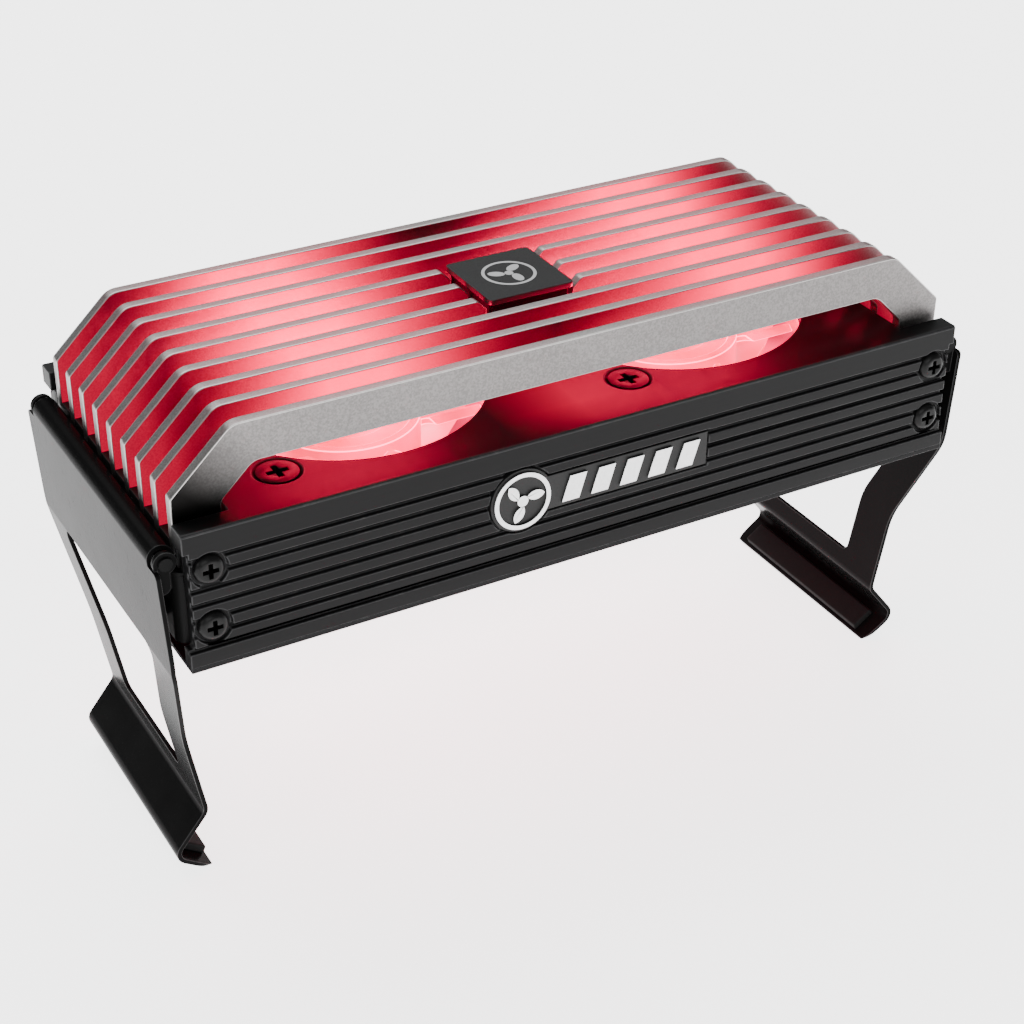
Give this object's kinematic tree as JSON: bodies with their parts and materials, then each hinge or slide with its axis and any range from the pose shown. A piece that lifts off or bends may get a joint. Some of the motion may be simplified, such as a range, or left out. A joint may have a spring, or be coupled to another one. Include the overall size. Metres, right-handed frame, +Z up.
{
  "type": "memory module cooling fan unit",
  "caption": "Clip-on cooler for memory modules: a grooved black housing with lit fans under bare aluminium fins, held by a sprung hooked clip at each end.",
  "frame": {"origin": "on the ground under the middle of the unit, which stands on the tips of its hooks", "axes": "+X along the housing, -Y out of its front, +Z up"},
  "size_m": [0.1498, 0.0622, 0.0844],
  "materials": {
    "anodised_black": "satin black anodised",
    "plate_black": "satin black",
    "clip_black": "satin black paint on spring steel",
    "rail_plastic": "moulded",
    "fin_aluminium": "fine blasted, clear anodised",
    "badge_plastic": "moulded, fine texture",
    "bright_metal": "polished",
    "rubber_black": "matte",
    "clear_plastic": "clear, lit red from inside",
    "blade_plastic": "clear, lit red",
    "steel": "turned or drawn",
    "magnet": "bonded ferrite",
    "brass": "turned",
    "copper_wire": "enamelled copper",
    "circuit_board": "solder mask",
    "led_red": "moulded lens",
    "white_plastic": "moulded",
    "wire_plastic": "wire insulation",
    "screw_black": "black oxide"
  },
  "bodies": {
    "housing": {"body_channel": "anodised_black", "bottom_plate": "plate_black", "end_bracket_left": "clip_black", "end_bracket_right": "clip_black", "fin_rail_left": "rail_plastic", "fin_rail_right": "rail_plastic", "fin_1": "fin_aluminium", "fin_2": "fin_aluminium", "fin_3": "fin_aluminium", "fin_4": "fin_aluminium", "fin_5": "fin_aluminium", "fin_6": "fin_aluminium", "fin_7": "fin_aluminium", "fin_8": "fin_aluminium", "fin_9": "fin_aluminium", "badge_base": "badge_plastic", "badge_plate": "badge_plastic", "emblem_base": "badge_plastic", "emblem": "bright_metal", "cable_grommet": "rubber_black", "fan_frame_left": "clear_plastic", "fan_frame_right": "clear_plastic", "bearing_left": "brass", "bearing_right": "brass", "stator_core_left": "steel", "stator_core_right": "steel", "stator_coils_left": "copper_wire", "stator_coils_right": "copper_wire", "fan_board_left": "circuit_board", "fan_board_right": "circuit_board", "leds_left": "led_red", "leds_right": "led_red", "junction_board": "circuit_board", "board_sockets": "white_plastic", "fan_leads": "wire_plastic", "fan_screws": "screw_black", "skirt_screws": "screw_black", "bottom_screws": "screw_black", "hinge_pin_left": "steel", "hinge_pin_right": "steel", "torsion_spring_left": "steel", "torsion_spring_right": "steel"},
    "rotor_left": {"fan_rotor_left": "blade_plastic", "rotor_cup_left": "steel", "rotor_magnet_left": "magnet", "rotor_shaft_left": "steel"},
    "rotor_right": {"fan_rotor_right": "blade_plastic", "rotor_cup_right": "steel", "rotor_magnet_right": "magnet", "rotor_shaft_right": "steel"},
    "clip_left": {"clip_left": "clip_black", "grip_pad_left": "rubber_black"},
    "clip_right": {"clip_right": "clip_black", "grip_pad_right": "rubber_black"}
  },
  "joints": [
    {"name": "fan_left_spin", "type": "hinge", "parent": "housing", "child": "rotor_left", "pos_m": [-0.0313, 0, 0.0572], "axis": [0, 0, 1], "continuous": true},
    {"name": "fan_right_spin", "type": "hinge", "parent": "housing", "child": "rotor_right", "pos_m": [0.0313, 0, 0.0572], "axis": [0, 0, 1], "continuous": true},
    {"name": "clip_left_swing", "type": "hinge", "parent": "housing", "child": "clip_left", "pos_m": [-0.07285, 0, 0.0655], "axis": [0, 1, 0], "range_deg": [0, 35], "stiffness_Nm_per_rad": 0.05, "springref_deg": -28.65},
    {"name": "clip_right_swing", "type": "hinge", "parent": "housing", "child": "clip_right", "pos_m": [0.07285, 0, 0.0655], "axis": [0, -1, 0], "range_deg": [0, 35], "stiffness_Nm_per_rad": 0.05, "springref_deg": -28.65}
  ]
}
